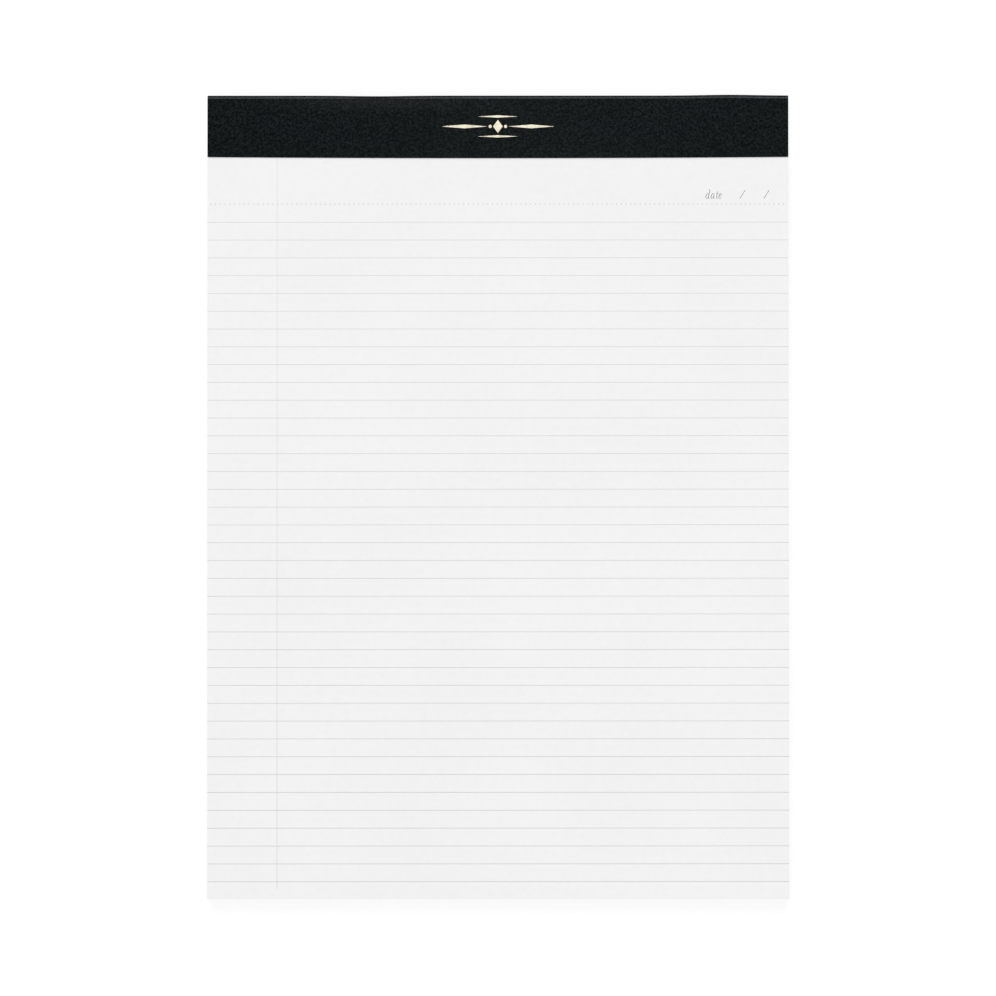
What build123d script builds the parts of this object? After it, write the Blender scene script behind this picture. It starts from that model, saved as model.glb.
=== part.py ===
from build123d import *
import os

# Letter-size writing pad, lying on its back with the ruled face up.
# The sheets and a backing board are trimmed as one stack and stapled together at the head.
# A strip of cover paper folded round the head hides the staples and the cut edges.
#
# Millimetres. +X runs to the right across the page, +Y towards the bound head, +Z up out of the page.
# The origin is the middle of the outline, at the level that the pad lies on.

# Outline of the whole pad, over the band
pad_width = 215.9
pad_length = 298.45

# Sheets and board
sheet_count = 50
sheet_thickness = 0.115
board_thickness = 0.76

# Binding band: each depth is measured from the outside of the head to the free edge of the flap.
# The fold over the soft sheets is fuller than the one over the board. Both radii are of the inside.
band_thickness = 0.25
band_front_depth = 23.2
band_back_depth = 23.2
front_fold_radius = 0.9
back_fold_radius = 0.35

# Staples, bent from flat wire: the setback is measured from the outside of the head
staple_count = 3
staple_pitch = 76.2
staple_setback = 11.6
staple_crown = 12.7
clinch_length = 4.6
wire_width = 0.6
wire_thickness = 0.4
wire_bend_radius = 0.3
staple_clearance = 0.05

# Levels, from the table up
board_back = band_thickness
board_face = board_back + board_thickness
page_face = board_face + sheet_count * sheet_thickness
stack_height = page_face - board_back
stack_middle = board_back + stack_height / 2

# Places along the pad
outer_head = pad_length / 2
trimmed_head = outer_head - band_thickness
foot = -pad_length / 2

# The tips of a clinched staple never meet
tip_gap = max(staple_crown - 2 * clinch_length, wire_thickness)


def stack_section(cover):
    """Side view of the sheets and the board, rounded at the head.

    A cover of the given thickness lies over the face, round the head and under the back.
    """
    top = page_face + cover
    bottom = board_back - cover
    head = trimmed_head + cover
    radii = [front_fold_radius + cover, back_fold_radius + cover]
    with BuildSketch() as section:
        with BuildLine():
            sides = FilletPolyline((foot, top), (head, top), (head, bottom), (foot, bottom), radius=radii)
            Line(sides @ 1, sides @ 0)
        make_face()
    return section.sketch


def staple_section(clearance):
    """Front view of a clinched staple, grown by a clearance on every side.

    The crown is pressed level with the top sheet, and the folded legs level with the back of the board.
    """
    outer = RectangleRounded(
        staple_crown + 2 * clearance,
        stack_height + 2 * clearance,
        wire_bend_radius + wire_thickness + clearance,
    )
    inner = RectangleRounded(
        staple_crown - 2 * (wire_thickness + clearance),
        stack_height - 2 * (wire_thickness + clearance),
        wire_bend_radius - clearance,
    )
    gap = Pos(0, -stack_height / 2) * Rectangle(tip_gap - 2 * clearance, 2 * (wire_thickness + clearance))
    return Pos(0, stack_middle) * (outer - inner - gap)


# Band: a cover over the whole stack, cut back to the two flaps
front_offcut = Pos(outer_head - band_front_depth, stack_middle) * Rectangle(
    pad_length, stack_height, align=(Align.MAX, Align.MIN)
)
back_offcut = Pos(outer_head - band_back_depth, stack_middle) * Rectangle(
    pad_length, stack_height, align=(Align.MAX, Align.MAX)
)
band_section = stack_section(band_thickness) - stack_section(0) - front_offcut - back_offcut
binding_band = extrude(Plane.YZ * band_section, pad_width / 2, both=True)

# The staples, and the slots that they open in the stack
stapling_places = Pos(0, outer_head - staple_setback, 0) * GridLocations(staple_pitch, 0, staple_count, 1)
wire = extrude(Plane.XZ * staple_section(0), wire_width / 2, both=True)
slot = extrude(Plane.XZ * staple_section(staple_clearance), wire_width / 2 + staple_clearance, both=True)
staples = Part() + [place * wire for place in stapling_places]

# The stack, pierced by the staples, parts where the lowest sheet lies on the board
stack = extrude(Plane.YZ * stack_section(0), pad_width / 2, both=True)
stack -= [place * slot for place in stapling_places]
lowest_sheet = Plane.XY.offset(board_face)
page_block = split(stack, lowest_sheet, keep=Keep.TOP)
backing_board = split(stack, lowest_sheet, keep=Keep.BOTTOM)

nodes = {
    "page_block": page_block,
    "backing_board": backing_board,
    "binding_band": binding_band,
    "staples": staples,
}
os.makedirs("parts", exist_ok=True)
for name, shape in nodes.items():
    shape.label = name
    export_step(shape, f"parts/{name}.step")
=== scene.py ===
"""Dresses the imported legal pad: ruled sheets, chipboard back, folded black band and foil ornament.

Everything is in metres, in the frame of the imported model: +X runs to the right across the page, +Y towards
the bound head and +Z up out of the page. The pad lies on the table at Z = 0.
"""

import logging
import math
import random
from contextlib import contextmanager
from dataclasses import dataclass
from enum import Enum
from typing import Callable, ClassVar, Iterator, Sequence

import bmesh
import bpy
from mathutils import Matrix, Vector


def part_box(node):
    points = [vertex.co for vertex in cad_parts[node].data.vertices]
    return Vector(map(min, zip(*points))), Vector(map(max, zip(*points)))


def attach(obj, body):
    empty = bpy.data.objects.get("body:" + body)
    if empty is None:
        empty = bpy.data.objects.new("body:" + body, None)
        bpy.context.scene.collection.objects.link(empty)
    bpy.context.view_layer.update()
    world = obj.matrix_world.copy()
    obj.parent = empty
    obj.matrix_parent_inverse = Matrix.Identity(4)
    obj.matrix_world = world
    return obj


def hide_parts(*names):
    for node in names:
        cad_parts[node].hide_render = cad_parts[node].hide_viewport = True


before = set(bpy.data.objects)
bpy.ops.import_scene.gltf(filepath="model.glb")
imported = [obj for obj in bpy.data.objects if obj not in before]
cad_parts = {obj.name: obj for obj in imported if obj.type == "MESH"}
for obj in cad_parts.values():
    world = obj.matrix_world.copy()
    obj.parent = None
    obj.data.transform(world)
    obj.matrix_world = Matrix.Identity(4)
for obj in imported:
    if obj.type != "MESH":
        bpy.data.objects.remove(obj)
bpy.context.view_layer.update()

MM = 0.001
BODY = "root"

# Outside of the bound head and face of the band, which printed marks and the camera are placed from
PAD_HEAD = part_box("binding_band")[1][1]
PAD_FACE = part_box("binding_band")[1][2]

# Points closer than this are one point
NEAR = 0.0005 * MM

Piece = bpy.types.Object
Material = bpy.types.Material
Socket = bpy.types.NodeSocket
Test = Callable[[Vector], bool]
Span = tuple[float, float]
Axes = tuple[float, float, float]
Colour = tuple[float, float, float]
Colours = tuple[Colour, ...]
Stops = tuple[float, ...]

log = logging.getLogger("legal_pad")


# Modelling by hand


class Element(Enum):
    """What a selection is made of."""

    EDGE = "EDGE"
    FACE = "FACE"


def show_only(piece: Piece) -> None:
    """Makes one object the only selected one, and the active one.

    Args:
        piece: The object.
    """
    bpy.ops.object.select_all(action="DESELECT")
    piece.select_set(True)
    bpy.context.view_layer.objects.active = piece


def named(name: str) -> Piece:
    """Names the object that was just added, and puts its place and size into its mesh.

    Args:
        name: What the piece is called.

    Returns:
        The new object, at the origin.
    """
    piece = bpy.context.object
    piece.name = name
    piece.data.name = name
    bpy.ops.object.transform_apply(location=True, rotation=True, scale=True)
    return piece


def add_block(name: str, low: Vector, high: Vector) -> Piece:
    """Adds a block between two corners.

    Args:
        name: What the piece is called.
        low: Its lowest corner.
        high: Its highest corner.

    Returns:
        The new object.
    """
    bpy.ops.object.select_all(action="DESELECT")
    bpy.ops.mesh.primitive_cube_add(size=1, location=(low + high) / 2, scale=high - low)
    return named(name)


def add_prism(name: str, sides: int, middle: Vector, size: Vector) -> Piece:
    """Adds an upright prism with its corners on an ellipse of the given size.

    Args:
        name: What the piece is called.
        sides: How many sides it has.
        middle: Its centre.
        size: Its length, width and height.

    Returns:
        The new object.
    """
    bpy.ops.object.select_all(action="DESELECT")
    bpy.ops.mesh.primitive_cylinder_add(vertices=sides, radius=0.5, depth=1, location=middle, scale=size)
    return named(name)


@contextmanager
def editing(piece: Piece) -> Iterator[None]:
    """Opens a piece in edit mode with nothing selected, and closes it again.

    Args:
        piece: The piece.

    Yields:
        Nothing, while the piece is open.
    """
    show_only(piece)
    bpy.ops.object.mode_set(mode="EDIT")
    bpy.ops.mesh.select_all(action="DESELECT")
    yield
    bpy.ops.object.mode_set(mode="OBJECT")


def pick(piece: Piece, element: Element, test: Test) -> None:
    """Selects what passes a test, in a piece that is open in edit mode.

    Args:
        piece: The open piece.
        element: What to select.
        test: Says yes or no to the middle of an edge or face.
    """
    bpy.ops.mesh.select_mode(type=element.value)
    bpy.ops.mesh.select_all(action="DESELECT")
    mesh = bmesh.from_edit_mesh(piece.data)
    for part in mesh.edges if element is Element.EDGE else mesh.faces:
        if test(sum((corner.co for corner in part.verts), Vector()) / len(part.verts)):
            part.select_set(True)
    bmesh.update_edit_mesh(piece.data)


def apply_modifier(piece: Piece, kind: str, **settings: object) -> None:
    """Adds one modifier to a piece and applies it.

    Args:
        piece: The piece.
        kind: The modifier's type.
        settings: The modifier's own values.
    """
    show_only(piece)
    bpy.ops.object.modifier_add(type=kind)
    modifier = piece.modifiers[-1]
    for key, value in settings.items():
        setattr(modifier, key, value)
    bpy.ops.object.modifier_apply(modifier=modifier.name)


def repeat(piece: Piece, count: int, step: Vector) -> None:
    """Copies a piece in a straight row.

    Args:
        piece: The first of the row, which takes in the others.
        count: How many there are in all.
        step: From one to the next.
    """
    apply_modifier(
        piece,
        "ARRAY",
        count=count,
        use_relative_offset=False,
        use_constant_offset=True,
        constant_offset_displace=step,
    )


def join(name: str, pieces: Sequence[Piece]) -> Piece:
    """Makes one piece of several.

    Args:
        name: What the piece is called.
        pieces: The objects to join, of which the first stays.

    Returns:
        The first object, with the others in its mesh.
    """
    first, *others = pieces
    show_only(first)
    for piece in others:
        piece.select_set(True)
    bpy.ops.object.join()
    first.name = name
    first.data.name = name
    return first


def dress(piece: Piece, *materials: Material) -> None:
    """Gives a piece its materials, in place of those it has.

    Args:
        piece: The piece.
        materials: Its materials, in the order of its slots.
    """
    piece.data.materials.clear()
    for material in materials:
        piece.data.materials.append(material)


def settle(piece: Piece, slot: str, *nodes: str) -> None:
    """Ties a finished piece to the pad and hides the solids that it replaces.

    Args:
        piece: The finished piece.
        slot: A material slot's name, which is not used.
        nodes: The CAD nodes that it replaces, if any.
    """
    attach(piece, BODY)
    if nodes:
        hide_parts(*nodes)
    log.info("%s: %d faces", piece.name, len(piece.data.polygons))


def smooth_step(value: float, start: float, end: float) -> float:
    """Rises smoothly from 0 at the start to 1 at the end."""
    share = min(max((value - start) / (end - start), 0.0), 1.0)
    return share * share * (3 - 2 * share)


# Wiring of materials


@dataclass(frozen=True)
class Grain:
    """One layer of cloudy noise.

    Attributes:
        size: Size of its largest patches.
        detail: How many finer layers it has.
        roughness: How strong the finer layers are.
        stretch: How much finer it is along each axis.
    """

    size: float
    detail: float = 3.0
    roughness: float = 0.55
    stretch: Axes = (1.0, 1.0, 1.0)


@dataclass(frozen=True)
class Relief:
    """Fine relief of a surface: how deep it is and how much of it shows."""

    depth: float
    strength: float


class Nodes:
    """A node tree that is being wired."""

    def __init__(self, tree: bpy.types.NodeTree) -> None:
        """Takes the tree."""
        self.tree = tree

    def add(self, kind: str, **settings: object) -> bpy.types.Node:
        """Adds a node.

        Args:
            kind: The node's type.
            settings: The node's own values.

        Returns:
            The new node.
        """
        node = self.tree.nodes.new(kind)
        for key, value in settings.items():
            setattr(node, key, value)
        return node

    def fill(self, node: bpy.types.Node, **values: object) -> None:
        """Sets a node's plain values, named as its sockets are, with _ for a space."""
        for key, value in values.items():
            node.inputs[key.replace("_", " ")].default_value = value

    def link(self, source: Socket, target: Socket) -> None:
        """Joins two sockets."""
        self.tree.links.new(source, target)

    def math(self, operation: str, first: Socket, second: Socket | float) -> Socket:
        """Combines two values.

        Args:
            operation: What to do with them, such as ADD or MULTIPLY.
            first: A value.
            second: Another value, or a number.

        Returns:
            The result.
        """
        node = self.add("ShaderNodeMath", operation=operation)
        self.link(first, node.inputs[0])
        if isinstance(second, float):
            node.inputs[1].default_value = second
        else:
            self.link(second, node.inputs[1])
        return node.outputs["Value"]

    def remap(self, value: Socket, start: float, end: float, low: float = 0.0, high: float = 1.0) -> Socket:
        """Turns one range of values into another, and holds it at both ends.

        Args:
            value: What to read.
            start: The value where the result is low.
            end: The value where the result is high.
            low: The result at the start.
            high: The result at the end.

        Returns:
            The result.
        """
        node = self.add("ShaderNodeMapRange")
        self.fill(node, From_Min=start, From_Max=end, To_Min=low, To_Max=high)
        self.link(value, node.inputs["Value"])
        return node.outputs["Result"]


class Graph(Nodes):
    """The nodes of one material, round a Principled shader that reads the piece's own place."""

    # Where nearly all of a noise lies
    NOISE_RANGE: ClassVar[Span] = (0.3, 0.7)

    def __init__(self, name: str) -> None:
        """Starts a material.

        Args:
            name: What the material is called.
        """
        self.material = bpy.data.materials.new(name)
        self.material.use_nodes = True
        super().__init__(self.material.node_tree)
        self.surface = self.tree.nodes["Principled BSDF"]
        self.place = self.add("ShaderNodeTexCoord").outputs["Object"]

    def noise(self, grain: Grain) -> Socket:
        """Spreads cloudy noise over the piece.

        Args:
            grain: What the noise is like.

        Returns:
            The noise, about 0 to 1.
        """
        place = self.add("ShaderNodeMapping")
        self.fill(place, Scale=grain.stretch)
        self.link(self.place, place.inputs["Vector"])
        node = self.add("ShaderNodeTexNoise")
        self.fill(node, Scale=1 / grain.size, Detail=grain.detail, Roughness=grain.roughness)
        self.link(place.outputs["Vector"], node.inputs["Vector"])
        return node.outputs["Fac"]

    def cells(self, size: float) -> Socket:
        """Spreads rounded pebbles over the piece.

        Args:
            size: How large they are.

        Returns:
            The distance from each one's middle.
        """
        node = self.add("ShaderNodeTexVoronoi", feature="F1")
        self.fill(node, Scale=1 / size)
        self.link(self.place, node.inputs["Vector"])
        return node.outputs["Distance"]

    def along(self, axis: str, start: float, end: float) -> Socket:
        """Rises from 0 to 1 between two places along an axis.

        Args:
            axis: X, Y or Z.
            start: Where it is 0.
            end: Where it is 1.

        Returns:
            The value.
        """
        split = self.add("ShaderNodeSeparateXYZ")
        self.link(self.place, split.inputs["Vector"])
        return self.remap(split.outputs[axis], start, end)

    def attribute(self, name: str) -> Socket:
        """Reads a value that the mesh carries at its points."""
        return self.add("ShaderNodeAttribute", attribute_name=name).outputs["Fac"]

    def mean(self, first: Socket, second: Socket, share: float) -> Socket:
        """Mixes two values.

        Args:
            first: A value.
            second: Another value.
            share: How much the second one counts.

        Returns:
            The mixed value.
        """
        node = self.add("ShaderNodeMix", data_type="FLOAT")
        self.fill(node, Factor=share)
        self.link(first, node.inputs["A"])
        self.link(second, node.inputs["B"])
        return node.outputs["Result"]

    def ramp(self, value: Socket, stops: Sequence[float], *colours: Colour) -> Socket:
        """Turns a value into a colour.

        Args:
            value: What to read.
            stops: Places along the ramp, in order.
            colours: The colour at each place.

        Returns:
            The colour.
        """
        node = self.add("ShaderNodeValToRGB")
        elements = node.color_ramp.elements
        while len(elements) < len(stops):
            elements.new(1.0)
        for element, place, colour in zip(elements, stops, colours):
            element.position = place
            element.color = (*colour, 1.0)
        self.link(value, node.inputs["Fac"])
        return node.outputs["Color"]

    def blend(self, share: Socket, first: Socket, second: Socket) -> Socket:
        """Goes from one colour to another.

        Args:
            share: 0 for the first colour, 1 for the second.
            first: A colour.
            second: Another colour.

        Returns:
            The mixed colour.
        """
        node = self.add("ShaderNodeMix", data_type="RGBA")
        colours = [socket for socket in node.inputs if socket.type == "RGBA"]
        self.link(share, node.inputs["Factor"])
        self.link(first, colours[0])
        self.link(second, colours[1])
        return next(socket for socket in node.outputs if socket.type == "RGBA")

    def colour(self, socket: Socket) -> None:
        """Sets the surface's colour."""
        self.link(socket, self.surface.inputs["Base Color"])

    def bump(self, height: Socket, relief: Relief) -> None:
        """Gives the surface relief.

        Args:
            height: Where it is high and low, about 0 to 1.
            relief: What the relief is like.
        """
        node = self.add("ShaderNodeBump")
        self.fill(node, Distance=relief.depth, Strength=relief.strength)
        self.link(height, node.inputs["Height"])
        self.link(node.outputs["Normal"], self.surface.inputs["Normal"])

    def rough(self, noise: Socket, roughness: Span) -> None:
        """Lets the surface's roughness go from one value to another with a noise."""
        self.link(self.remap(noise, *self.NOISE_RANGE, *roughness), self.surface.inputs["Roughness"])

    def set(self, **values: float) -> None:
        """Sets the surface's plain values."""
        self.fill(self.surface, **values)


# Finishes


@dataclass(frozen=True)
class Finish:
    """A surface that follows its grain.

    Attributes:
        name: What its material is called.
        colours: Its colours, from the low to the high places of its tone.
        stops: Where the tone gives each colour.
        grain: Its main noise.
        relief: Its fine relief.
        roughness: How rough it is where its noise is low and where it is high.
        second: A noise that is mixed into the tone.
        share: How much the second noise counts.
        tooth: Noise of the relief, where that doesn't follow the grain.
        specular: How much it mirrors.
        metallic: 1 for metal.
    """

    name: str
    colours: Colours
    stops: Stops
    grain: Grain
    relief: Relief
    roughness: Span
    second: Grain | None = None
    share: float = 0.0
    tooth: Grain | None = None
    specular: float = 0.5
    metallic: float = 0.0

    def material(self) -> Material:
        """Builds the material.

        Returns:
            The material.
        """
        graph = Graph(self.name)
        grain = graph.noise(self.grain)
        tone = graph.mean(grain, graph.noise(self.second), self.share) if self.second else grain
        graph.colour(graph.ramp(tone, self.stops, *self.colours))
        graph.bump(graph.noise(self.tooth) if self.tooth else grain, self.relief)
        graph.rough(tone if self.tooth else grain, self.roughness)
        graph.set(Specular_IOR_Level=self.specular, Metallic=self.metallic)
        return graph.material


@dataclass(frozen=True)
class PaperFinish(Finish):
    """White, smooth, uncoated writing paper, a little cloudy and with the mottle of its pulp."""

    name: str = "writing_paper"
    colours: Colours = ((0.866, 0.866, 0.866), (0.902, 0.902, 0.902))
    stops: Stops = (0.3, 0.7)
    grain: Grain = Grain(60 * MM, roughness=0.5)
    second: Grain = Grain(2.4 * MM, roughness=0.6)
    share: float = 0.5
    tooth: Grain = Grain(0.5 * MM, detail=4.0)
    relief: Relief = Relief(0.02 * MM, 0.25)
    roughness: Span = (0.86, 0.78)
    specular: float = 0.2


@dataclass(frozen=True)
class CutEdgeFinish(Finish):
    """Edges of the sheets as the guillotine leaves them, with faint marks of the blade across the layers."""

    name: str = "cut_paper_edges"
    colours: Colours = ((0.78, 0.775, 0.76), (0.9, 0.895, 0.885))
    stops: Stops = (0.34, 0.56)
    grain: Grain = Grain(6 * MM, detail=6.0, roughness=0.7, stretch=(1.0, 1.0, 0.08))
    second: Grain = Grain(8 * MM, detail=6.0, roughness=0.75, stretch=(0.05, 0.05, 12.0))
    share: float = 0.5
    relief: Relief = Relief(0.03 * MM, 0.3)
    roughness: Span = (0.96, 0.84)
    specular: float = 0.15


class InkTone(Enum):
    """Light that each kind of print gives back, where bare paper gives nine tenths."""

    RULE = 0.59
    MARGIN = 0.74
    DOT = 0.5
    LETTER = 0.15


@dataclass(frozen=True)
class InkFinish:
    """Grey ink, laid on with one strength at the head of the sheet and another at its foot."""

    tone: InkTone
    head_strength: float = 0.62
    foot_strength: float = 1.2
    paper: float = 0.885
    blue_cast: float = 1.005
    half_sheet: float = 149 * MM
    breaks: Grain = Grain(1.2 * MM, detail=4.0)
    unevenness: float = 0.4
    roughness: Span = (0.76, 0.64)
    specular: float = 0.2

    def at(self, strength: float) -> Colour:
        """The ink's colour where it is laid on with this strength."""
        value = self.paper - (self.paper - self.tone.value) * strength
        return (value, value, value * self.blue_cast)

    def material(self) -> Material:
        """Builds ink that breaks up a little in the tooth of the paper.

        Returns:
            The material.
        """
        graph = Graph(f"{self.tone.name.lower()}_ink")
        breaks = graph.noise(self.breaks)
        uneven = graph.remap(breaks, 0.0, 1.0, -self.unevenness / 2, self.unevenness / 2)
        laid = graph.math("ADD", graph.along("Y", self.half_sheet, -self.half_sheet), uneven)
        graph.colour(graph.ramp(laid, (0.0, 1.0), self.at(self.head_strength), self.at(self.foot_strength)))
        graph.rough(breaks, self.roughness)
        graph.set(Specular_IOR_Level=self.specular)
        return graph.material


@dataclass(frozen=True)
class CoverFinish:
    """Matt black cover paper with a fine pebbled grain, paler along the folds from rubbing, with a painted
    highlight along the front fold and a painted sheen and pool of light on its face.
    """

    name: str = "black_cover_paper"
    deep: Colour = (0.0004, 0.0010, 0.0012)
    raised: Colour = (0.0122, 0.0165, 0.0176)
    stops: Span = (0.434, 0.626)
    # Colours of paper gone paler by rubbing; they also paint the highlight on the front fold and the sheen
    # and pool of light on the face
    scuffed_and_sheen: Colour = (0.033, 0.040, 0.042)
    rubbed_and_highlit: Colour = (0.078, 0.083, 0.086)
    rubbed_and_highlit_stops: Span = (0.3, 0.65)
    felt: Grain = Grain(0.8 * MM, detail=6.0, roughness=0.68)
    fibres: Grain = Grain(0.3 * MM, detail=2.0, roughness=0.6, stretch=(0.4, 1.5, 1.5))
    fibre_share: float = 0.2
    clouds: Grain = Grain(30 * MM, detail=2.0)
    cloud_share: float = 0.06
    # Patches that break up both the paler rubbing and the painted highlight, sheen and pool of light
    patchiness: Grain = Grain(9 * MM, detail=6.0, roughness=0.7, stretch=(1.0, 3.0, 3.0))
    least_patchiness: float = 0.35
    pebble: float = 0.55 * MM
    pebble_share: float = 0.35
    relief: Relief = Relief(0.05 * MM, 0.5)
    roughness: Span = (0.66, 0.5)
    specular: float = 0.03

    def material(self) -> Material:
        """Builds the grain, its relief, the folds paler from rubbing and the painted highlight, sheen and
        pool of light.

        Returns:
            The material.
        """
        graph = Graph(self.name)
        grain = graph.mean(graph.noise(self.felt), graph.noise(self.fibres), self.fibre_share)
        cloudy = graph.mean(grain, graph.noise(self.clouds), self.cloud_share)
        fresh = graph.ramp(cloudy, self.stops, self.deep, self.raised)
        # The band's points say how far the paper is paler from rubbing and how much painted highlight, sheen
        # and light it takes
        rubbed_and_highlit = graph.ramp(grain, self.rubbed_and_highlit_stops, self.scuffed_and_sheen, self.rubbed_and_highlit)
        patchiness = graph.math("ADD", graph.noise(self.patchiness), self.least_patchiness)
        wear_and_highlight = graph.math("MULTIPLY", graph.attribute(BindingBand.WEAR_AND_HIGHLIGHT), patchiness)
        graph.colour(graph.blend(wear_and_highlight, fresh, rubbed_and_highlit))
        pebbles = graph.math("MULTIPLY", graph.cells(self.pebble), self.pebble_share)
        graph.bump(graph.math("SUBTRACT", grain, pebbles), self.relief)
        graph.rough(grain, self.roughness)
        graph.set(Specular_IOR_Level=self.specular)
        return graph.material


@dataclass(frozen=True)
class BoardFinish(Finish):
    """Bare chipboard, an even grey-brown pulp in which only the strongest pale and dark fibres stand out."""

    name: str = "chipboard"
    colours: Colours = (
        (0.52, 0.475, 0.40),
        (0.395, 0.35, 0.287),
        (0.335, 0.29, 0.233),
        (0.17, 0.143, 0.112),
    )
    stops: Stops = (0.33, 0.41, 0.59, 0.67)
    grain: Grain = Grain(0.8 * MM, stretch=(1.0, 0.4, 4.0))
    second: Grain = Grain(16 * MM, detail=5.0, roughness=0.6)
    share: float = 0.2
    relief: Relief = Relief(0.04 * MM, 0.5)
    roughness: Span = (0.97, 0.87)
    specular: float = 0.15


@dataclass(frozen=True)
class WireFinish(Finish):
    """Bright steel wire with fine lines of drawing."""

    name: str = "steel_wire"
    colours: Colours = ((0.42, 0.42, 0.43), (0.62, 0.62, 0.63))
    stops: Stops = (0.3, 0.7)
    grain: Grain = Grain(1.5 * MM, detail=4.0, stretch=(0.2, 6.0, 6.0))
    relief: Relief = Relief(0.005 * MM, 0.3)
    roughness: Span = (0.42, 0.26)
    metallic: float = 1.0


@dataclass(frozen=True)
class FoilFinish(Finish):
    """Pale gold foil, a little patchy and pressed into the grain of the band."""

    name: str = "gold_foil"
    colours: Colours = ((0.50, 0.44, 0.31), (0.80, 0.755, 0.62))
    stops: Stops = (0.32, 0.6)
    grain: Grain = Grain(2.2 * MM, detail=5.0, roughness=0.65)
    tooth: Grain = Grain(0.7 * MM)
    relief: Relief = Relief(0.03 * MM, 0.5)
    roughness: Span = (0.46, 0.28)
    metallic: float = 1.0


# The pad


@dataclass
class SheetStack:
    """The writing sheets, trimmed flush at three sides and drawn back at the head by the fold of the band."""

    # How level a face is that belongs to the flat of a sheet
    LEVEL: ClassVar[float] = 0.999

    count: int = 50
    seam: float = 0.016 * MM
    seam_depth: float = 0.07 * MM
    stray: float = 0.045 * MM
    fold_radius: float = 0.9 * MM
    seed: int = 11

    def __post_init__(self) -> None:
        """Reads where the block of sheets lies."""
        self.low, self.high = (Vector(corner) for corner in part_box("page_block"))
        self.chance = random.Random(self.seed)

    @property
    def face(self) -> float:
        """Level of the writing face."""
        return self.high.z

    def drawn_back(self, level: float) -> float:
        """Works out how far the fold draws the head of a sheet back.

        Args:
            level: The sheet's height.

        Returns:
            The distance.
        """
        into_fold = level - (self.high.z - self.fold_radius)
        if into_fold <= 0:
            return 0.0
        return self.fold_radius - math.sqrt(self.fold_radius**2 - min(into_fold, self.fold_radius) ** 2)

    def outline(self, straying: bool) -> list[float]:
        """Places the sides of one sheet.

        Args:
            straying: Whether each side lies a little inside its nominal place.

        Returns:
            Left, right, foot and head.
        """
        edges = [self.low.x, self.high.x, self.low.y, self.high.y]
        inward = [1, -1, 1, -1]
        if not straying:
            return edges
        return [edge + side * self.chance.uniform(0, self.stray) for edge, side in zip(edges, inward)]

    def rise(self, stack: Piece, outline: Sequence[float], level: float, inset: float = 0.0) -> None:
        """Extrudes the top of the stack to an outline at a level.

        Args:
            stack: The stack, open in edit mode with its top face selected.
            outline: Left, right, foot and head of the outline.
            level: Its height.
            inset: How far inside the outline the new top lies.
        """
        bpy.ops.mesh.extrude_region_move()
        left, right, foot, head = outline
        head -= self.drawn_back(level)
        mesh = bmesh.from_edit_mesh(stack.data)
        for corner in (vertex for vertex in mesh.verts if vertex.select):
            x = left + inset if corner.co.x < 0 else right - inset
            y = foot + inset if corner.co.y < 0 else head - inset
            corner.co = Vector((x, y, level))
        bmesh.update_edit_mesh(stack.data)

    def build(self) -> Piece:
        """Models the stack as one solid, sheet upon sheet, with a fine open seam between every two.

        Returns:
            The stack.
        """
        pitch = (self.high.z - self.low.z) / self.count
        lowest_top = Vector((self.high.x, self.high.y, self.low.z + pitch - self.seam))
        stack = add_block("ruled_sheets", self.low, lowest_top)
        below = self.outline(straying=False)
        with editing(stack):
            pick(stack, Element.FACE, lambda middle: middle.z > lowest_top.z - NEAR)
            for number in range(1, self.count):
                bottom = self.low.z + number * pitch
                is_top_sheet = number == self.count - 1
                sheet = self.outline(straying=not is_top_sheet)
                top = self.high.z if is_top_sheet else bottom + pitch - self.seam
                self.rise(stack, below, bottom - self.seam / 2, self.seam_depth)
                self.rise(stack, sheet, bottom)
                self.rise(stack, sheet, top)
                below = sheet
        return stack

    def dress_faces(self, stack: Piece) -> None:
        """Gives the face plain paper and the sides cut edges.

        Args:
            stack: The stack.
        """
        dress(stack, PaperFinish().material(), CutEdgeFinish().material())
        for face in stack.data.polygons:
            face.material_index = 0 if abs(face.normal.z) > self.LEVEL else 1

    def make(self) -> None:
        """Builds, dresses and settles the sheets."""
        stack = self.build()
        self.dress_faces(stack)
        settle(stack, "writing_paper", "page_block")


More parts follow.
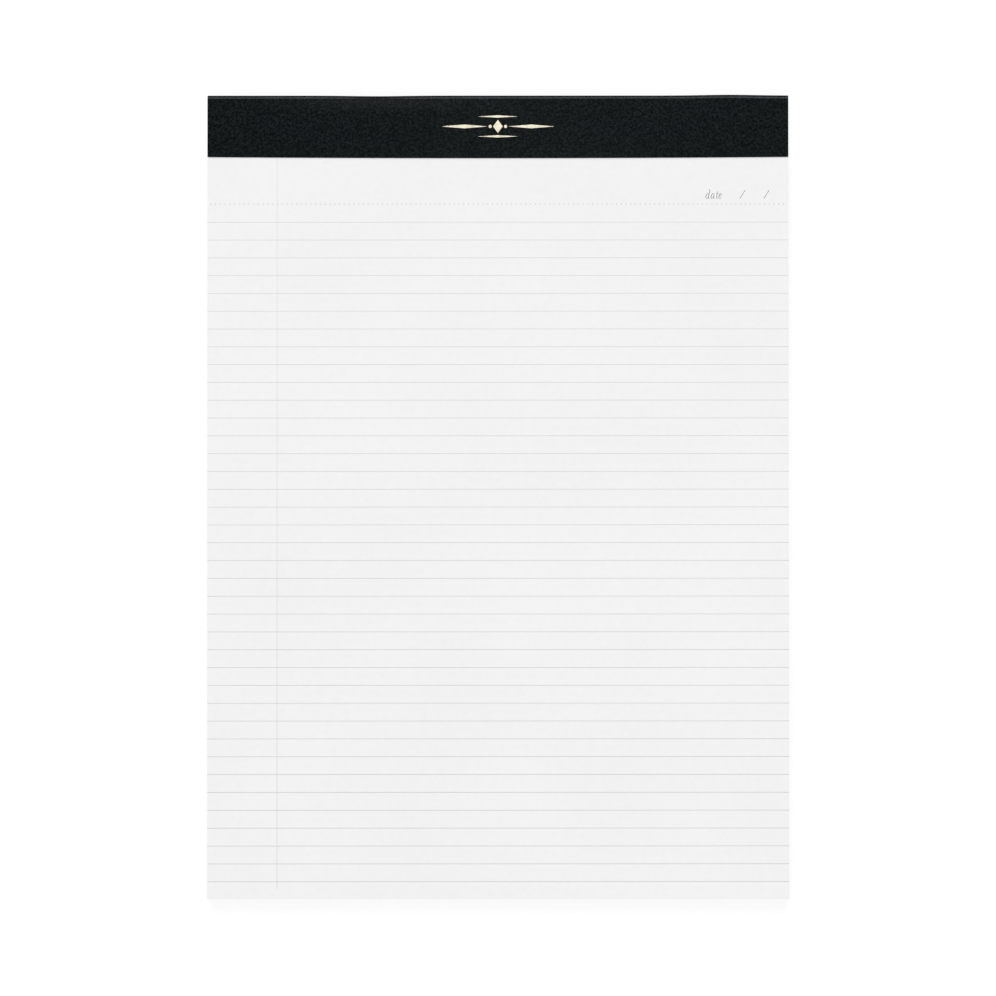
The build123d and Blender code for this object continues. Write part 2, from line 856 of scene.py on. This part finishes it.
@dataclass
class Ruling:
    """Lines printed on the top sheet: full rules, a margin line and a dotted rule under the heading."""

    sheets: SheetStack

    # Full rules, the lowest one by its distance from the foot
    rule_count: int = 38
    rule_pitch: float = 6.616 * MM
    rule_width: float = 0.2 * MM
    foot_space: float = 6.45 * MM
    short_of_edge: float = 0.01 * MM

    # Margin line, by its distance from the left side, the head and the foot
    margin_place: float = 25.9 * MM
    margin_width: float = 0.2 * MM
    margin_start: float = 22.6 * MM
    margin_end: float = 3.9 * MM

    # Dotted rule, by its distance from the highest full rule
    dot_space: float = 6.74 * MM
    dot_width: float = 0.46 * MM
    dot_sides: int = 12
    dot_pitch: float = 1.774 * MM
    dot_shift: float = -0.27 * MM

    # Ink above the paper, how many times as deep it soaks in, and how much of it rounds off at the rim
    film: float = 0.01 * MM
    first_film: float = 0.006 * MM
    soak: float = 2.0
    shoulder: float = 0.6
    shoulder_steps: int = 2

    def levels(self, film: float) -> Span:
        """Bottom and top of ink of this thickness, which soaks a little into the paper."""
        return self.sheets.face - self.soak * film, self.sheets.face + film

    def round_shoulders(self, mark: Piece, film: float) -> None:
        """Rounds the upper rim of a printed mark, as wet ink draws in.

        Args:
            mark: The mark.
            film: Thickness of its ink.
        """
        top = self.sheets.face + film
        with editing(mark):
            pick(mark, Element.EDGE, lambda middle: middle.z > top - NEAR)
            bpy.ops.mesh.bevel(offset=film * self.shoulder, segments=self.shoulder_steps, affect="EDGES")

    def strip(self, name: str, low: Span, high: Span, film: float) -> Piece:
        """Models one printed line.

        Args:
            name: What the piece is called.
            low: Its left and foot end.
            high: Its right and head end.
            film: Thickness of the ink.

        Returns:
            The line.
        """
        bottom, top = self.levels(film)
        line = add_block(name, Vector((*low, bottom)), Vector((*high, top)))
        self.round_shoulders(line, film)
        return line

    def rules(self) -> Piece:
        """Models the full rules, from side to side of the sheet.

        Returns:
            The rules.
        """
        left = self.sheets.low.x + self.short_of_edge
        right = self.sheets.high.x - self.short_of_edge
        first = self.sheets.low.y + self.foot_space
        half = self.rule_width / 2
        line = self.strip("printed_rules", (left, first - half), (right, first + half), self.film)
        repeat(line, self.rule_count, Vector((0, self.rule_pitch, 0)))
        return line

    def margin(self) -> Piece:
        """Models the margin line, which starts under the band, passes under the rules and stops below them.

        Returns:
            The line.
        """
        place = self.sheets.low.x + self.margin_place
        half = self.margin_width / 2
        start = PAD_HEAD - self.margin_start
        end = self.sheets.low.y + self.margin_end
        return self.strip("margin_line", (place - half, end), (place + half, start), self.first_film)

    def dots(self) -> Piece:
        """Models the dotted rule above the highest full rule.

        Returns:
            The dots.
        """
        bottom, top = self.levels(self.film)
        highest_rule = self.sheets.low.y + self.foot_space + (self.rule_count - 1) * self.rule_pitch
        count = int((self.sheets.high.x - self.sheets.low.x) / self.dot_pitch)
        first = self.dot_shift - (count - 1) * self.dot_pitch / 2
        middle = Vector((first, highest_rule + self.dot_space, (bottom + top) / 2))
        size = Vector((self.dot_width, self.dot_width, top - bottom))
        dot = add_prism("dotted_rule", self.dot_sides, middle, size)
        self.round_shoulders(dot, self.film)
        repeat(dot, count, Vector((self.dot_pitch, 0, 0)))
        return dot

    def make(self) -> None:
        """Builds, dresses and settles the printed lines."""
        for line, ink in (
            (self.rules(), InkFinish(InkTone.RULE)),
            (self.margin(), InkFinish(InkTone.MARGIN, head_strength=0.65, foot_strength=1.75)),
            (self.dots(), InkFinish(InkTone.DOT)),
        ):
            dress(line, ink.material())
            settle(line, "grey_ink")


Stroke = list[tuple[float, float, float]]


@dataclass
class DateField:
    """The heading at the right: the word date and two slashes, drawn with a pen in a sloping round hand.

    A point of a stroke is its place across and up, in x-heights from the letter's own start on the base line,
    and the pen's share of its full width there.
    """

    BOWL: ClassVar[Stroke] = [
        (0.60, 0.80, 0.6),
        (0.42, 0.99, 0.7),
        (0.16, 0.72, 1.1),
        (0.10, 0.26, 1.1),
        (0.27, 0.03, 0.8),
        (0.58, 0.43, 0.6),
    ]
    STEM: ClassVar[Stroke] = [(0.60, 0.30, 1.1), (0.68, 0.03, 0.8), (0.84, 0.20, 0.5)]
    ASCENDER: ClassVar[Stroke] = [(0.44, 1.70, 0.6), (0.60, 1.76, 0.9), *STEM]
    SHORT_STEM: ClassVar[Stroke] = [(0.60, 1.00, 0.8), *STEM]
    CROSSED_STEM: ClassVar[Stroke] = [
        (0.26, 1.42, 0.7),
        (0.24, 0.30, 1.1),
        (0.32, 0.03, 0.8),
        (0.48, 0.18, 0.5),
    ]
    CROSSBAR: ClassVar[Stroke] = [(0.02, 0.96, 0.7), (0.50, 0.98, 0.7)]
    EYE: ClassVar[Stroke] = [
        (0.12, 0.46, 0.6),
        (0.44, 0.60, 0.7),
        (0.50, 0.86, 0.8),
        (0.33, 0.99, 0.8),
        (0.12, 0.66, 1.1),
        (0.12, 0.22, 1.1),
        (0.32, 0.02, 0.8),
        (0.62, 0.24, 0.5),
    ]
    LETTERS: ClassVar[tuple[tuple[float, tuple[Stroke, ...]], ...]] = (
        (0.0, (BOWL, ASCENDER)),
        (1.02, (BOWL, SHORT_STEM)),
        (1.97, (CROSSED_STEM, CROSSBAR)),
        (2.54, (EYE,)),
    )

    sheets: SheetStack
    word_place: float = 77.05 * MM
    base_from_head: float = 38.45 * MM
    x_height: float = 1.9 * MM
    slope: float = 0.13
    slash_places: Span = (89.9 * MM, 98.8 * MM)
    slash_height: float = 3.2 * MM
    slash_lean: float = 2.05 * MM
    slash_pen: Span = (0.98, 0.82)

    # Half the pen's width, height of its ink, and steps round the pen and along a curve
    pen: float = 0.1 * MM
    film: float = 0.01 * MM
    pen_steps: int = 2
    curve_steps: int = 6

    @property
    def base(self) -> float:
        """Place of the base line along the pad."""
        return PAD_HEAD - self.base_from_head

    def draw(self, name: str, strokes: Sequence[Stroke]) -> Piece:
        """Draws pen strokes on the top sheet.

        Args:
            name: What the piece is called.
            strokes: Points of each stroke in metres on the sheet, with the pen's share of its full width.

        Returns:
            The strokes as one flat mesh.
        """
        line = bpy.data.curves.new(name, "CURVE")
        line.dimensions = "3D"
        line.bevel_depth = self.pen
        line.bevel_resolution = self.pen_steps
        line.resolution_u = self.curve_steps
        line.use_fill_caps = True
        for stroke in strokes:
            spline = line.splines.new("BEZIER")
            spline.bezier_points.add(len(stroke) - 1)
            for point, (x, y, share) in zip(spline.bezier_points, stroke):
                point.co = (x, y, 0)
                point.radius = share
                point.handle_left_type = "AUTO"
                point.handle_right_type = "AUTO"
        drawn = bpy.data.objects.new(name, line)
        bpy.context.collection.objects.link(drawn)
        show_only(drawn)
        bpy.ops.object.convert(target="MESH")
        drawn = bpy.context.object
        with editing(drawn):
            bpy.ops.mesh.select_all(action="SELECT")
            bpy.ops.mesh.remove_doubles(threshold=NEAR)
            bpy.ops.mesh.normals_make_consistent(inside=False)
            bpy.ops.transform.resize(value=(1, 1, self.film / self.pen), center_override=(0, 0, 0))
            bpy.ops.transform.translate(value=(0, 0, self.sheets.face))
        return drawn

    def placed(self, start: float, stroke: Stroke) -> Stroke:
        """Puts a letter's stroke on the sheet.

        Args:
            start: Where the letter starts in the word, in x-heights.
            stroke: The stroke.

        Returns:
            The sloping stroke, in metres.
        """
        left = self.word_place + start * self.x_height
        return [
            (left + (x + y * self.slope) * self.x_height, self.base + y * self.x_height, share)
            for x, y, share in stroke
        ]

    def word(self) -> Piece:
        """Draws the word."""
        strokes = [self.placed(start, stroke) for start, letter in self.LETTERS for stroke in letter]
        return self.draw("date_word", strokes)

    def slashes(self) -> Piece:
        """Draws the two slashes that part day, month and year.

        Returns:
            The slashes.
        """
        foot_pen, head_pen = self.slash_pen
        top = self.base + self.slash_height
        strokes = [
            [(x, self.base, foot_pen), (x + self.slash_lean, top, head_pen)] for x in self.slash_places
        ]
        return self.draw("date_slashes", strokes)

    def make(self) -> None:
        """Builds, dresses and settles the heading."""
        ink = InkFinish(InkTone.LETTER, head_strength=1.0, foot_strength=1.0).material()
        for writing in (self.word(), self.slashes()):
            dress(writing, ink)
            settle(writing, "grey_ink")


@dataclass(frozen=True)
class Swell:
    """Something that rises and falls in one smooth hump along the bound head."""

    place: float
    spread: float
    height: float

    def share(self, x: float) -> float:
        """How much of its full height it has at a place across the pad."""
        return math.exp(-(((x - self.place) / self.spread) ** 2))

    def at(self, x: float) -> float:
        """Its height at a place across the pad."""
        return self.height * self.share(x)


@dataclass
class BindingBand:
    """The strip of cover paper folded round the head, a little uneven along its folds and free edges."""

    # Attribute that holds both the rubbing of the back corner and the painted highlight, sheen and pool of
    # light on the front
    WEAR_AND_HIGHLIGHT: ClassVar[str] = "fold_wear_and_highlight"

    # The strip, with the outside radii of its folds
    thickness: float = 0.25 * MM
    front_fold: float = 1.15 * MM
    back_fold: float = 0.6 * MM
    smooth_angle: float = math.radians(35)

    # Rows of faces, which lie closer in the crease before the front fold
    columns: int = 96
    flap_rows: int = 12
    crease: float = 1.6 * MM
    crease_rows: int = 8
    fold_steps: int = 16
    head_rows: int = 4
    back_rows: int = 6

    # How far the head sinks and stands proud, and the free edges bow
    sunk: Swell = Swell(-45 * MM, 13 * MM, -0.22 * MM)
    proud: Swell = Swell(86 * MM, 13 * MM, 0.27 * MM)
    head_reach: float = 4.0 * MM
    free_edge_reach: float = 8.0 * MM
    free_edge_sag: float = 0.18 * MM
    free_edge_bow: float = 0.43 * MM

    # Painted highlight along the front fold, which also stands for a line paler from rubbing, and of which
    # little is left where the head is sunk
    highlight_place: float = 0.94 * MM
    highlight_width: float = 0.45 * MM
    highlight_left: float = 0.25

    # Rubbing of the back fold's corner, a painted sheen below the front fold, and a painted pool of light
    # that makes the face paler towards its middle
    back_rub: float = 0.5
    back_rub_width: float = 0.6 * MM
    painted_sheen: Swell = Swell(-45 * MM, 29.5 * MM, 0.14)
    painted_sheen_place: float = 2.9 * MM
    painted_sheen_width: float = 2.6 * MM
    painted_light_pool: Swell = Swell(12 * MM, 75 * MM, 0.052)
    closeness_core: float = 1 / 3

    def __post_init__(self) -> None:
        """Reads where the band lies."""
        self.low, self.high = (Vector(corner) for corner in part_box("binding_band"))

    @property
    def face(self) -> float:
        """Level of the band's front face."""
        return self.high.z

    def fold(self, band: Piece, edge: Test, centre: Vector) -> None:
        """Turns the edges that pass a test a quarter turn down, round a fold with this centre."""
        pick(band, Element.EDGE, edge)
        bpy.ops.mesh.spin(steps=self.fold_steps, angle=math.pi / 2, center=centre, axis=(1, 0, 0))

    def extend(self, band: Piece, edge: Test, run: Vector, rows: int) -> None:
        """Extrudes the band's running edge straight on.

        Args:
            band: The band, open in edit mode.
            edge: Says which edges run on.
            run: How far and which way.
            rows: In how many rows.
        """
        pick(band, Element.EDGE, edge)
        for _ in range(rows):
            bpy.ops.mesh.extrude_region_move(TRANSFORM_OT_translate={"value": run / rows})

    def add_flap(self, depth: float) -> Piece:
        """Adds the flat of the front flap.

        Args:
            depth: How far it reaches from its free edge.

        Returns:
            The flap, as a grid of faces.
        """
        bpy.ops.object.select_all(action="DESELECT")
        bpy.ops.mesh.primitive_grid_add(
            x_subdivisions=self.columns,
            y_subdivisions=self.flap_rows,
            size=1,
            location=(0, self.low.y + depth / 2, self.high.z),
        )
        bpy.ops.transform.resize(value=(self.high.x - self.low.x, depth, 1))
        return named("folded_band")

    def skin(self) -> Piece:
        """Models the band's outside from the front flap, round both folds, to the back flap.

        Returns:
            The outside as a sheet that faces outwards.
        """
        front_y = self.high.y - self.front_fold
        front_z = self.high.z - self.front_fold
        back_y = self.high.y - self.back_fold
        back_z = self.low.z + self.back_fold
        crease_y = front_y - self.crease
        to_fold = Vector((0, self.crease, 0))
        down_head = Vector((0, 0, back_z - front_z))
        under_back = Vector((0, self.low.y - back_y, 0))
        band = self.add_flap(crease_y - self.low.y)
        with editing(band):
            self.extend(band, lambda at: at.y > crease_y - NEAR, to_fold, self.crease_rows)
            self.fold(band, lambda at: at.y > front_y - NEAR, Vector((0, front_y, front_z)))
            self.extend(band, lambda at: at.z < front_z + NEAR, down_head, self.head_rows)
            self.fold(band, lambda at: at.z < back_z + NEAR, Vector((0, back_y, back_z)))
            self.extend(band, lambda at: at.z < self.low.z + NEAR, under_back, self.back_rows)
            bpy.ops.mesh.select_all(action="SELECT")
            bpy.ops.mesh.remove_doubles(threshold=NEAR)
            bpy.ops.mesh.normals_make_consistent(inside=False)
        return band

    def closeness(self, distance: float, width: float) -> float:
        """1 near the back corner's rubbing and near the middle of the painted sheen, fading to 0 at this
        width.
        """
        return 1 - smooth_step(distance, width * self.closeness_core, width)

    def rubbed_and_highlit(self, at: Vector) -> float:
        """Says how much paler the paper is at a point of its outside: from rubbing at the back corner, and
        from painted highlight, sheen and pool of light on the front.

        Args:
            at: The point.

        Returns:
            0 for fresh paper up to 1 on the shoulder of the front fold, where the highlight is painted.
        """
        from_head = self.high.y - at.y
        middle = (self.low.z + self.high.z) / 2
        if at.z < middle:
            off_corner = math.hypot(from_head, at.z - self.low.z)
            return self.back_rub * self.closeness(off_corner, self.back_rub_width)
        # Painted highlight along the front fold, partly a line paler from rubbing, fainter where the head is
        # sunk
        off_line = math.hypot(from_head - self.highlight_place, max(self.high.z - at.z - self.highlight_width, 0.0))
        line = 1 - smooth_step(off_line, 0.0, self.highlight_width)
        line *= 1 - (1 - self.highlight_left) * self.sunk.share(at.x)
        # Painted sheen below the front fold
        painted_sheen = self.painted_sheen.at(at.x) * self.closeness(abs(from_head - self.painted_sheen_place), self.painted_sheen_width)
        # Painted pool of light, paler towards the middle of the face
        painted_light_pool = self.painted_light_pool.at(at.x) * smooth_step(at.z, middle, self.high.z)
        return max(line, painted_sheen + painted_light_pool)

    def mark_wear_and_highlight(self, band: Piece) -> None:
        """Marks how much paler each point is, from rubbing and from painted highlight, sheen and light.

        Args:
            band: The band's outside.
        """
        wear_and_highlight = band.data.attributes.new(self.WEAR_AND_HIGHLIGHT, "FLOAT", "POINT")
        for point, value in zip(band.data.vertices, wear_and_highlight.data):
            value.value = self.rubbed_and_highlit(point.co)

    def unsettle(self, band: Piece) -> None:
        """Lets the head swell and sink along its length, and the free edges bow.

        Args:
            band: The band.
        """
        half = (self.high.x - self.low.x) / 2
        for point in band.data.vertices:
            swell = self.sunk.at(point.co.x) + self.proud.at(point.co.x)
            at_head = smooth_step(point.co.y, self.high.y - self.head_reach, self.high.y)
            at_edge = 1 - smooth_step(point.co.y, self.low.y, self.low.y + self.free_edge_reach)
            bow = self.free_edge_bow * (point.co.x / half) ** 2 - self.free_edge_sag
            point.co.y += swell * at_head + bow * at_edge

    def make(self) -> None:
        """Builds, dresses and settles the band."""
        band = self.skin()
        self.mark_wear_and_highlight(band)
        apply_modifier(band, "SOLIDIFY", thickness=self.thickness, offset=-1.0, use_even_offset=True)
        self.unsettle(band)
        show_only(band)
        bpy.ops.object.shade_smooth_by_angle(angle=self.smooth_angle)
        dress(band, CoverFinish().material())
        settle(band, "cover_paper", "binding_band")


class MarkOutline(Enum):
    """Number of sides of a stamped mark's outline."""

    LOZENGE = 4
    BEAD = 12


@dataclass
class FoilOrnament:
    """A tapering foil rule stamped on the band, with a lozenge, two beads and fine rules above and below."""

    band: BindingBand

    # Outlines, from the middle outwards
    place: float = 11.6 * MM
    lozenge: Span = (3.6 * MM, 4.8 * MM)
    bead: float = 1.2 * MM
    gap: float = 0.45 * MM
    length: float = 42.0 * MM
    swell: float = 1.4 * MM
    fine_length: float = 15.0 * MM
    fine_swell: float = 0.85 * MM
    fine_offset: float = 3.7 * MM

    # Foil above and below the face of the band, and the soft rim up to its raised middle
    film: float = 0.02 * MM
    sunk: float = 0.04 * MM
    rim: float = 0.05 * MM
    crown: float = 0.006 * MM

    def stamp(self, outline: MarkOutline, x: float, y: float, length: float, width: float) -> Piece:
        """Models one pressed mark with softened edges.

        Args:
            outline: Its outline, which drawn out long is a tapering rule.
            x: Place of its middle across the band.
            y: Place of its middle, up from the ornament's own.
            length: Its length across the band.
            width: Its width along the pad.

        Returns:
            The mark.
        """
        bottom = self.band.face - self.sunk
        top = self.band.face + self.film
        middle = Vector((x, self.band.high.y - self.place + y, (bottom + top) / 2))
        mark = add_prism("foil_mark", outline.value, middle, Vector((length, width, top - bottom)))
        with editing(mark):
            pick(mark, Element.FACE, lambda at: at.z > top - NEAR)
            bpy.ops.mesh.inset(thickness=self.rim)
            bpy.ops.transform.translate(value=(0, 0, self.crown))
        return mark

    def build(self) -> Piece:
        """Models the marks and joins them.

        Returns:
            The ornament.
        """
        bead_place = self.lozenge[0] / 2 + self.gap + self.bead / 2
        arm_start = bead_place + self.bead / 2 + self.gap
        arm = self.length / 2 - arm_start
        arm_place = arm_start + arm / 2
        marks = [self.stamp(MarkOutline.LOZENGE, 0, 0, *self.lozenge)]
        for side in (-1, 1):
            bead = self.stamp(MarkOutline.BEAD, side * bead_place, 0, self.bead, self.bead)
            rule = self.stamp(MarkOutline.LOZENGE, side * arm_place, 0, arm, self.swell)
            fine_y = side * self.fine_offset
            fine_rule = self.stamp(MarkOutline.LOZENGE, 0, fine_y, self.fine_length, self.fine_swell)
            marks += [bead, rule, fine_rule]
        return join("foil_ornament", marks)

    def make(self) -> None:
        """Builds, dresses and settles the ornament."""
        ornament = self.build()
        dress(ornament, FoilFinish().material())
        settle(ornament, "gold_foil")


@dataclass(frozen=True)
class Backing:
    """The board and the staples, which keep the shape of their solids."""

    board: BoardFinish = BoardFinish()
    wire: WireFinish = WireFinish()

    def make(self) -> None:
        """Dresses the solids."""
        for node, finish in (("backing_board", self.board), ("staples", self.wire)):
            dress(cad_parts[node], finish.material())
            log.info("%s: keeps its solid", node)


# The studio


@dataclass(frozen=True)
class Softbox:
    """One large lamp, aimed at the pad."""

    name: str
    place: Axes
    width: float
    height: float
    level: float

    def build(self) -> None:
        """Adds the lamp with the power that lights a level white card to the given level."""
        away = Vector(self.place)
        lean = away.normalized().z
        data = bpy.data.lights.new(self.name, "AREA")
        data.shape = "RECTANGLE"
        data.size = self.width
        data.size_y = self.height
        data.energy = self.level * math.pi**2 * away.length_squared / lean
        lamp = bpy.data.objects.new(self.name, data)
        lamp.location = away
        lamp.rotation_euler = away.to_track_quat("Z", "Y").to_euler()
        bpy.context.collection.objects.link(lamp)


@dataclass
class Studio:
    """A white table under soft light, and a camera that looks almost straight down."""

    # Camera, with the size of a pixel on the pad
    pixel: float = 0.37122 * MM
    image_side: int = 996
    sensor: float = 36.0
    aim: Span = (-0.03 * MM, -0.5 * MM)
    distance: float = 1.5
    tilt: float = math.radians(0.8)
    roll: float = math.radians(-0.025)

    # Table, with the share of the pad's shadow that shows, and how far from the pad
    floor_side: float = 12.0
    floor_level: float = -0.02 * MM
    floor_white: float = 0.94
    shadow_share: float = 0.24
    shadow_reach: float = 0.9
    glow: float = 1.059

    # Light from all round, and lamps
    ambient: float = 0.445
    softboxes: tuple[Softbox, ...] = (
        Softbox("head_softbox", (-0.35, 4.34, 4.62), 5.0, 3.5, 0.41),
        Softbox("left_softbox", (-1.9, -0.25, 1.9), 1.4, 1.6, 0.085),
        Softbox("right_softbox", (1.9, -0.25, 1.9), 1.4, 1.6, 0.07),
        Softbox("foot_softbox", (0.0, -1.3, 1.4), 1.2, 0.7, 0.068),
    )

    def seen(self, nodes: Nodes) -> Socket:
        """Says 1 for rays that show the background itself: from the camera, a mirror or glass.

        Args:
            nodes: The node tree to read it in.

        Returns:
            The value.
        """
        path = nodes.add("ShaderNodeLightPath").outputs
        mirrored = nodes.math("MAXIMUM", path["Is Camera Ray"], path["Is Glossy Ray"])
        return nodes.math("MAXIMUM", mirrored, path["Is Transmission Ray"])

    def build_world(self) -> None:
        """Adds a white background that lights the pad softly from all round."""
        world = bpy.data.worlds.new("white_room")
        world.use_nodes = True
        world.cycles.sampling_method = "NONE"
        nodes = Nodes(world.node_tree)
        background = nodes.tree.nodes["Background"]
        nodes.fill(background, Color=(1, 1, 1, 1))
        nodes.link(nodes.remap(self.seen(nodes), 0.0, 1.0, self.ambient, 1.0), background.inputs["Strength"])
        bpy.context.scene.world = world

    def table_material(self) -> Material:
        """Builds matt white that glows where it is seen, but near the pad lets some of the shadow through.

        Returns:
            The material.
        """
        material = bpy.data.materials.new("white_table")
        material.use_nodes = True
        nodes = Nodes(material.node_tree)
        matt = nodes.add("ShaderNodeBsdfDiffuse")
        nodes.fill(matt, Color=(self.floor_white, self.floor_white, self.floor_white, 1))
        glow = nodes.add("ShaderNodeEmission")
        nodes.fill(glow, Strength=self.glow)
        away = nodes.add("ShaderNodeVectorMath", operation="LENGTH")
        nodes.link(nodes.add("ShaderNodeTexCoord").outputs["Object"], away.inputs[0])
        distance = away.outputs["Value"]
        white = nodes.remap(distance, self.shadow_reach / 2, self.shadow_reach, 1 - self.shadow_share)
        mix = nodes.add("ShaderNodeMixShader")
        nodes.link(nodes.math("MULTIPLY", self.seen(nodes), white), mix.inputs["Fac"])
        nodes.link(matt.outputs["BSDF"], mix.inputs[1])
        nodes.link(glow.outputs["Emission"], mix.inputs[2])
        nodes.link(mix.outputs["Shader"], nodes.tree.nodes["Material Output"].inputs["Surface"])
        return material

    def build_floor(self) -> None:
        """Adds a white table top that keeps a faint shadow of the pad."""
        bpy.ops.object.select_all(action="DESELECT")
        bpy.ops.mesh.primitive_plane_add(size=self.floor_side, location=(0, 0, self.floor_level))
        floor = named("table_top")
        dress(floor, self.table_material())

    def build_camera(self) -> None:
        """Adds the camera, leaning a little from the foot so that the page widens towards it."""
        data = bpy.data.cameras.new("overhead_camera")
        data.sensor_width = self.sensor
        data.lens = self.sensor * self.distance / (self.image_side * self.pixel)
        camera = bpy.data.objects.new("overhead_camera", data)
        away = Vector((0, -math.sin(self.tilt), math.cos(self.tilt))) * self.distance
        camera.location = Vector((*self.aim, PAD_FACE)) + away
        camera.rotation_euler = (self.tilt, 0, self.roll)
        bpy.context.collection.objects.link(camera)
        bpy.context.scene.camera = camera

    def make(self) -> None:
        """Builds table, light and camera."""
        bpy.context.scene.view_settings.view_transform = "Standard"
        self.build_world()
        self.build_floor()
        for softbox in self.softboxes:
            softbox.build()
        self.build_camera()
        log.info("studio: %d softboxes", len(self.softboxes))


def main() -> None:
    """Builds the studio and the pad."""
    logging.basicConfig(level=logging.INFO, format="%(name)s %(message)s")
    Studio().make()
    sheets = SheetStack()
    sheets.make()
    Ruling(sheets).make()
    DateField(sheets).make()
    band = BindingBand()
    band.make()
    FoilOrnament(band).make()
    Backing().make()


if __name__ == "__main__":
    main()
